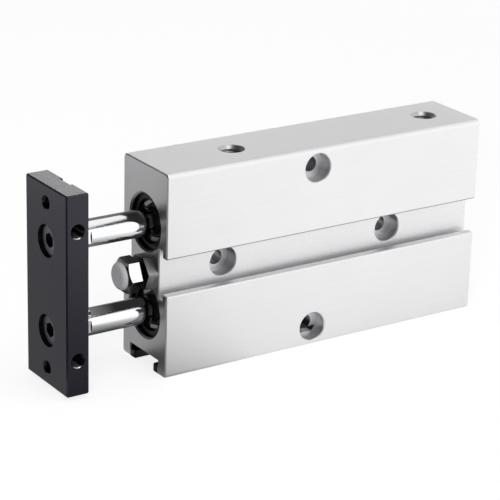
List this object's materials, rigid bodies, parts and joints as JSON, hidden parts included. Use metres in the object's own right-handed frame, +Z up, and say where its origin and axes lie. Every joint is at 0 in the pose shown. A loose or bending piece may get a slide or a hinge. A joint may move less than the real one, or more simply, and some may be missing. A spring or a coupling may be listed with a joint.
{
  "type": "twin-rod pneumatic cylinder",
  "caption": "Flat aluminium air cylinder whose parallel rods carry one end plate, with T-slots, air ports, mounting holes and an adjustable stop bolt.",
  "frame": {"origin": "middle of the base of the whole part, with the rods part way out as in the picture", "axes": "+Z up, rods along X with the end plate towards -X, broad faces towards -Y and +Y"},
  "size_m": [0.1068, 0.018, 0.046],
  "materials": {
    "clear_anodised": "bead blasted, clear anodised",
    "black_anodised": "black anodised, satin",
    "black_gland": "black anodised, turned",
    "hard_chrome": "ground and hard chromed",
    "plated_steel": "nickel plated, forged",
    "black_steel": "black oxide",
    "turned_aluminium": "turned, clear anodised",
    "bronze": "sintered bronze",
    "rubber": "moulded nitrile rubber",
    "urethane": "moulded grey urethane",
    "bearing_plastic": "machined acetal",
    "magnet": "bonded ferrite"
  },
  "bodies": {
    "cylinder": {"body": "clear_anodised", "upper_front_gland": "black_gland", "upper_front_clip": "black_steel", "upper_rear_cap": "turned_aluminium", "upper_rear_clip": "black_steel", "upper_rod_seal": "rubber", "upper_guide_bush": "bronze", "upper_gland_o_ring": "rubber", "upper_front_bumper": "rubber", "upper_rear_o_ring": "rubber", "upper_rear_bumper": "rubber", "lower_front_gland": "black_gland", "lower_front_clip": "black_steel", "lower_rear_cap": "turned_aluminium", "lower_rear_clip": "black_steel", "lower_rod_seal": "rubber", "lower_guide_bush": "bronze", "lower_gland_o_ring": "rubber", "lower_front_bumper": "rubber", "lower_rear_o_ring": "rubber", "lower_rear_bumper": "rubber"},
    "rods": {"end_plate": "black_anodised", "upper_rod": "hard_chrome", "upper_plate_screw": "black_steel", "upper_piston": "turned_aluminium", "upper_piston_seal_front": "rubber", "upper_piston_seal_rear": "rubber", "upper_magnet": "magnet", "upper_wear_ring": "bearing_plastic", "upper_piston_nut": "plated_steel", "lower_rod": "hard_chrome", "lower_plate_screw": "black_steel", "lower_piston": "turned_aluminium", "lower_piston_seal_front": "rubber", "lower_piston_seal_rear": "rubber", "lower_magnet": "magnet", "lower_wear_ring": "bearing_plastic", "lower_piston_nut": "plated_steel"},
    "stop": {"stop_bolt": "plated_steel", "stop_pad": "urethane"},
    "nut": {"lock_nut": "plated_steel"}
  },
  "joints": [
    {"name": "rod_slide", "type": "slide", "parent": "cylinder", "child": "rods", "axis": [-1, 0, 0], "range_m": [-0.0104, 0.0194]},
    {"name": "stop_bolt_turn", "type": "hinge", "parent": "cylinder", "child": "stop", "pos_m": [-0.02965, -0.0017, 0.0226], "axis": [-1, 0, 0], "continuous": true},
    {"name": "lock_nut_turn", "type": "hinge", "parent": "cylinder", "child": "nut", "pos_m": [-0.02965, -0.0017, 0.0226], "axis": [-1, 0, 0], "continuous": true}
  ]
}
